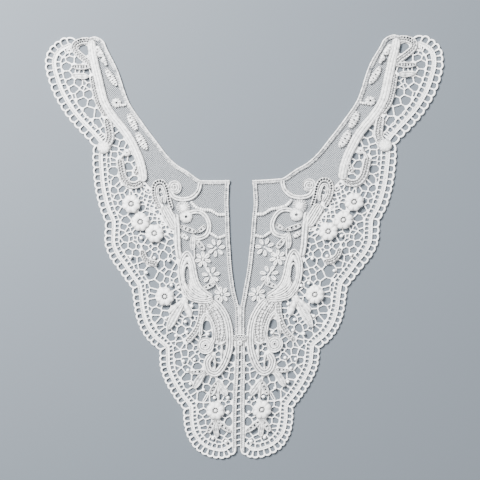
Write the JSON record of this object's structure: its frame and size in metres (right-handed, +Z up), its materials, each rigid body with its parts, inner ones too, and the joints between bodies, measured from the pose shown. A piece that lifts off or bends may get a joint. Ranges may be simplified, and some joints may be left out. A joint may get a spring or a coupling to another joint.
{
  "type": "lace collar",
  "caption": "White guipure lace bib collar with scalloped picot edge, V neck, front slit, satin scrolls and rosettes, laid out flat.",
  "frame": {"origin": "middle of the collar's box at the height of the surface that it lies on", "axes": "+Y towards the shoulders, along its length; +Z up out of the surface, through the cloth; +X to the wearer's left, as seen from above"},
  "size_m": [0.3594, 0.3816, 0.0037],
  "materials": {
    "bar_thread": "plump embroidered bars in matt white thread",
    "net_thread": "fine diagonal net in thin white thread",
    "braid_cord": "corded braid in white thread",
    "satin_thread": "satin stitch in lustrous white thread",
    "padded_satin": "padded satin stitch in lustrous white thread",
    "tie_thread": "wrapped bar in white thread"
  },
  "bodies": {
    "root": {"lace_ground_left": "bar_thread", "net_yoke_left": "net_thread", "neck_braid_left": "braid_cord", "front_braid_left": "braid_cord", "shoulder_tape_left": "satin_thread", "crescent_tape_left": "satin_thread", "big_paisley_left": "satin_thread", "scroll_left": "satin_thread", "spiral_hook_left": "satin_thread", "petal_loop_left": "satin_thread", "arch_paisley_left": "satin_thread", "sweep_tapes_left": "satin_thread", "spiral_eye_left": "satin_thread", "leaf_fan_left": "satin_thread", "bent_leaf_left": "satin_thread", "skirt_leaves_left": "satin_thread", "bud_spray_left": "satin_thread", "hem_spray_left": "satin_thread", "net_leaf_upper_left": "satin_thread", "net_leaf_middle_left": "satin_thread", "net_leaf_lower_left": "satin_thread", "net_bud_left": "satin_thread", "daisy_spray_left": "satin_thread", "rosette_upper_left": "padded_satin", "rosette_middle_left": "padded_satin", "rosette_lower_left": "padded_satin", "rosette_front_left": "padded_satin", "rosette_hem_left": "padded_satin", "lace_ground_right": "bar_thread", "net_yoke_right": "net_thread", "neck_braid_right": "braid_cord", "front_braid_right": "braid_cord", "shoulder_tape_right": "satin_thread", "crescent_tape_right": "satin_thread", "big_paisley_right": "satin_thread", "scroll_right": "satin_thread", "spiral_hook_right": "satin_thread", "petal_loop_right": "satin_thread", "arch_paisley_right": "satin_thread", "sweep_tapes_right": "satin_thread", "spiral_eye_right": "satin_thread", "leaf_fan_right": "satin_thread", "bent_leaf_right": "satin_thread", "skirt_leaves_right": "satin_thread", "bud_spray_right": "satin_thread", "hem_spray_right": "satin_thread", "net_leaf_upper_right": "satin_thread", "net_leaf_middle_right": "satin_thread", "net_leaf_lower_right": "satin_thread", "net_bud_right": "satin_thread", "daisy_spray_right": "satin_thread", "rosette_upper_right": "padded_satin", "rosette_middle_right": "padded_satin", "rosette_lower_right": "padded_satin", "rosette_front_right": "padded_satin", "rosette_hem_right": "padded_satin", "front_tie": "tie_thread"}
  },
  "joints": []
}
